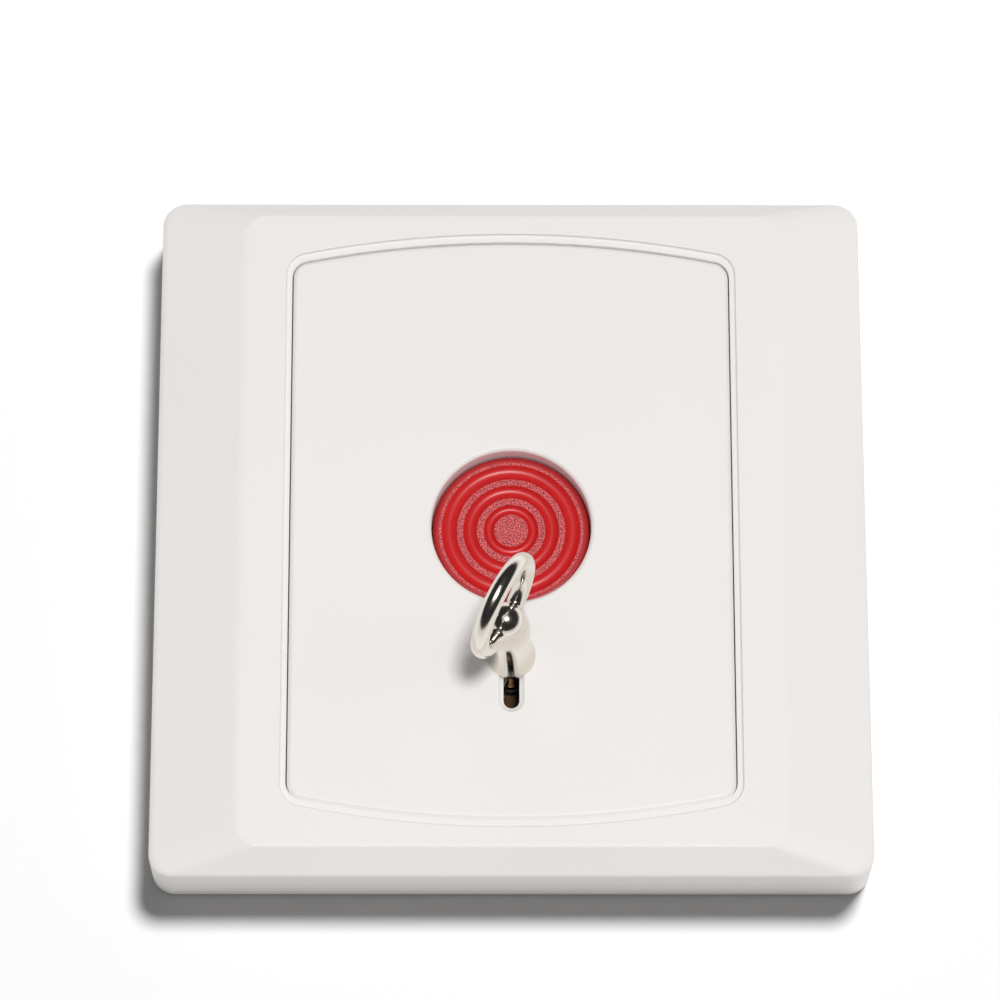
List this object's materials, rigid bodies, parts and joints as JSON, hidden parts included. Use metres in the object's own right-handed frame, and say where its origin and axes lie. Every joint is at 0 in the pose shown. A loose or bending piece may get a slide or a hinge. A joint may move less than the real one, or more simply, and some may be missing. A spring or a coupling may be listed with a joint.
{
  "type": "panic button",
  "caption": "Square wall plate with a recessed round push button under a key-operated reset, for hold-up and help alarms.",
  "frame": {"origin": "centre of the back plane that lies against the wall", "axes": "+Z out of the face, +Y up on the wall, +X to the right seen from the front"},
  "size_m": [0.086, 0.086, 0.0355],
  "materials": {
    "white_plastic": "satin moulded",
    "red_plastic": "satin with fine texture",
    "black_plastic": "matte moulded",
    "nickel": "polished plating",
    "brass": "stamped strip",
    "silver_contact": "dull silver",
    "zinc_steel": "zinc plated",
    "spring_steel": "drawn wire"
  },
  "bodies": {
    "base": {"front_frame": "white_plastic", "centre_panel": "white_plastic", "base_plate": "white_plastic", "mechanism_housing": "black_plastic", "return_spring": "spring_steel", "latch_spring": "spring_steel", "latch_keeper": "zinc_steel", "keeper_screws": "zinc_steel", "fixed_contacts": "silver_contact", "upper_contact_left": "brass", "upper_contact_right": "brass", "lower_contact_left": "brass", "lower_contact_right": "brass", "clamp_plates": "zinc_steel", "terminal_screws": "zinc_steel", "panel_screws": "zinc_steel", "housing_screws": "zinc_steel"},
    "button": {"push_button": "red_plastic", "contact_bridge": "brass", "bridge_contacts": "silver_contact", "bridge_clip": "spring_steel"},
    "key": {"reset_key": "nickel"},
    "latch": {"latch_slide": "brass"}
  },
  "joints": [
    {"name": "button_press", "type": "slide", "parent": "base", "child": "button", "axis": [0, 0, -1], "range_m": [0, 0.0022], "stiffness_N_per_m": 500, "springref_m": -0.004, "deforming": ["return_spring"]},
    {"name": "key_turn", "type": "hinge", "parent": "base", "child": "key", "pos_m": [0, -0.0165, 0], "axis": [0, 0, 1], "range_deg": [-32, 28]},
    {"name": "latch_travel", "type": "slide", "parent": "base", "child": "latch", "axis": [1, 0, 0], "range_m": [-0.00277, 0.00242], "deforming": ["latch_spring"]}
  ],
  "couplings": [
    {"joint": "key_turn", "follows": "latch_travel", "rad_per_m": 201.61}
  ]
}
